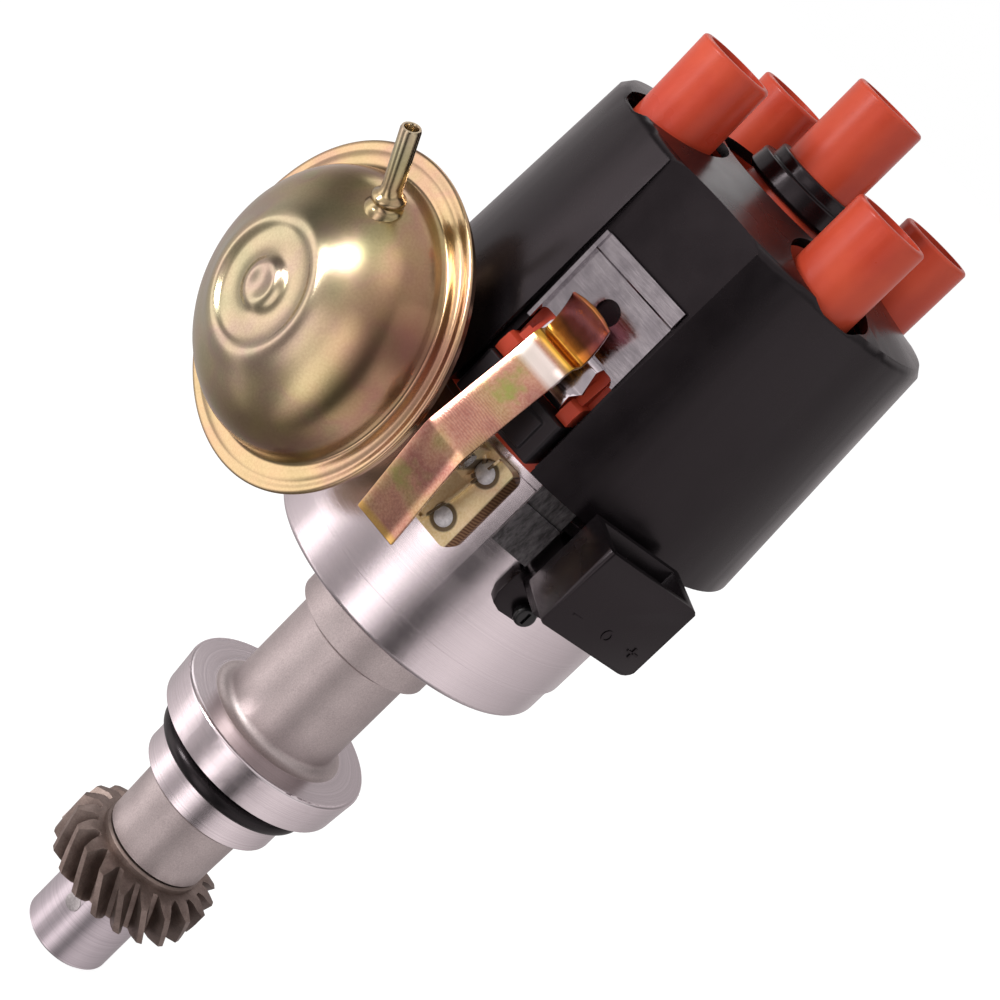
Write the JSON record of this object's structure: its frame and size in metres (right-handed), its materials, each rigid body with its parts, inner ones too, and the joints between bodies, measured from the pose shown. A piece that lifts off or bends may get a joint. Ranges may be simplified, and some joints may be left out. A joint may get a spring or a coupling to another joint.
{
  "type": "ignition distributor",
  "caption": "Ignition distributor with a helical drive gear, vacuum advance can, spring clips, plug connector and a cap with lead towers under a shroud.",
  "frame": {"origin": "on the shaft's axis, in the plane of the collar's lower face, which sits on the engine", "axes": "+Z along the shaft's axis from the gear to the cap; the front clip faces -Y"},
  "size_m": [0.1269, 0.1218, 0.2656],
  "materials": {
    "cast_aluminium": "satin, turned and as cast",
    "turned_steel": "turned",
    "phosphated_steel": "phosphated, satin",
    "sheet_steel": "plain",
    "polished_steel": "polished, lightly scratched",
    "gold_zinc": "yellow zinc plating, satin",
    "bronze": "plain",
    "brass": "plain",
    "red_plastic": "moulded, satin gloss",
    "black_plastic": "moulded, satin gloss",
    "brown_plastic": "moulded",
    "rubber": "plain",
    "carbon": "pressed graphite"
  },
  "bodies": {
    "body": {"housing": "cast_aluminium", "o_ring": "rubber", "lower_bush": "bronze", "upper_bush": "bronze", "base_plate": "sheet_steel", "dust_cover": "black_plastic", "distributor_cap": "red_plastic", "cap_shroud": "black_plastic", "centre_tower_ring": "black_plastic", "cap_terminals": "brass", "centre_terminal": "brass", "brush_spring": "turned_steel", "locating_blocks": "black_plastic", "clip_pins": "turned_steel", "clip_rivets": "polished_steel", "vacuum_cover": "gold_zinc", "vacuum_back": "gold_zinc", "vacuum_nipple": "polished_steel", "diaphragm": "rubber", "vacuum_spring": "turned_steel", "vacuum_bracket": "gold_zinc", "vacuum_screws": "gold_zinc", "connector_housing": "black_plastic", "connector_pins": "brass", "connector_screw": "phosphated_steel", "wire_grommet": "rubber", "clip_plate_front": "polished_steel", "clip_plate_rear": "polished_steel", "clip_bracket_front": "gold_zinc", "clip_bracket_rear": "gold_zinc"},
    "drive": {"drive_shaft": "turned_steel", "drive_gear": "phosphated_steel", "gear_pin": "polished_steel", "thrust_washer": "sheet_steel", "weight_plate": "sheet_steel", "weight_pins": "turned_steel", "advance_spring_1": "turned_steel", "advance_spring_2": "turned_steel"},
    "advance": {"cam_sleeve": "turned_steel", "vane_wheel": "sheet_steel", "rotor_arm": "brown_plastic", "rotor_electrode": "brass"},
    "flyweight_1": {"flyweight_1": "sheet_steel"},
    "flyweight_2": {"flyweight_2": "sheet_steel"},
    "vacuum_plate": {"moving_plate": "sheet_steel", "hall_pickup": "black_plastic"},
    "pull_rod": {"pull_rod": "sheet_steel"},
    "clip_front": {"clip_front": "gold_zinc"},
    "clip_rear": {"clip_rear": "gold_zinc"},
    "brush": {"carbon_brush": "carbon"}
  },
  "joints": [
    {"name": "shaft_spin", "type": "hinge", "parent": "body", "child": "drive", "pos_m": [0, 0, 0], "axis": [0, 0, 1], "continuous": true},
    {"name": "centrifugal_advance", "type": "hinge", "parent": "drive", "child": "advance", "pos_m": [0, 0, 0], "axis": [0, 0, -1], "range_deg": [0, 12], "stiffness_Nm_per_rad": 0.4, "deforming": ["advance_spring_1", "advance_spring_2"]},
    {"name": "flyweight_1_swing", "type": "hinge", "parent": "drive", "child": "flyweight_1", "pos_m": [0.017, 0, 0.0667], "axis": [0, 0, -1], "range_deg": [0, 12]},
    {"name": "flyweight_2_swing", "type": "hinge", "parent": "drive", "child": "flyweight_2", "pos_m": [-0.017, 0, 0.0667], "axis": [0, 0, -1], "range_deg": [0, 12]},
    {"name": "vacuum_advance", "type": "hinge", "parent": "body", "child": "vacuum_plate", "pos_m": [0, 0, 0.0863], "axis": [0, 0, 1], "range_deg": [0, 8], "stiffness_Nm_per_rad": 0.5},
    {"name": "pull_rod_slide", "type": "slide", "parent": "body", "child": "pull_rod", "axis": [-0.3867, -0.9222, 0], "range_m": [0, 0.0031], "deforming": ["diaphragm", "vacuum_spring"]},
    {"name": "clip_front_hinge", "type": "hinge", "parent": "body", "child": "clip_front", "pos_m": [0, -0.0465, 0.099], "axis": [1, 0, 0], "range_deg": [0, 28], "stiffness_Nm_per_rad": 0.1, "springref_deg": -5.73},
    {"name": "clip_rear_hinge", "type": "hinge", "parent": "body", "child": "clip_rear", "pos_m": [0, 0.0465, 0.099], "axis": [-1, 0, 0], "range_deg": [0, 28], "stiffness_Nm_per_rad": 0.1, "springref_deg": -5.73},
    {"name": "brush_slide", "type": "slide", "parent": "body", "child": "brush", "axis": [0, 0, 1], "range_m": [0, 0.0015], "stiffness_N_per_m": 50, "springref_m": -0.002, "deforming": ["brush_spring"]}
  ],
  "couplings": [
    {"joint": "flyweight_1_swing", "follows": "centrifugal_advance", "ratio": 1},
    {"joint": "flyweight_2_swing", "follows": "centrifugal_advance", "ratio": 1},
    {"joint": "pull_rod_slide", "follows": "vacuum_advance", "m_per_rad": 0.022}
  ]
}
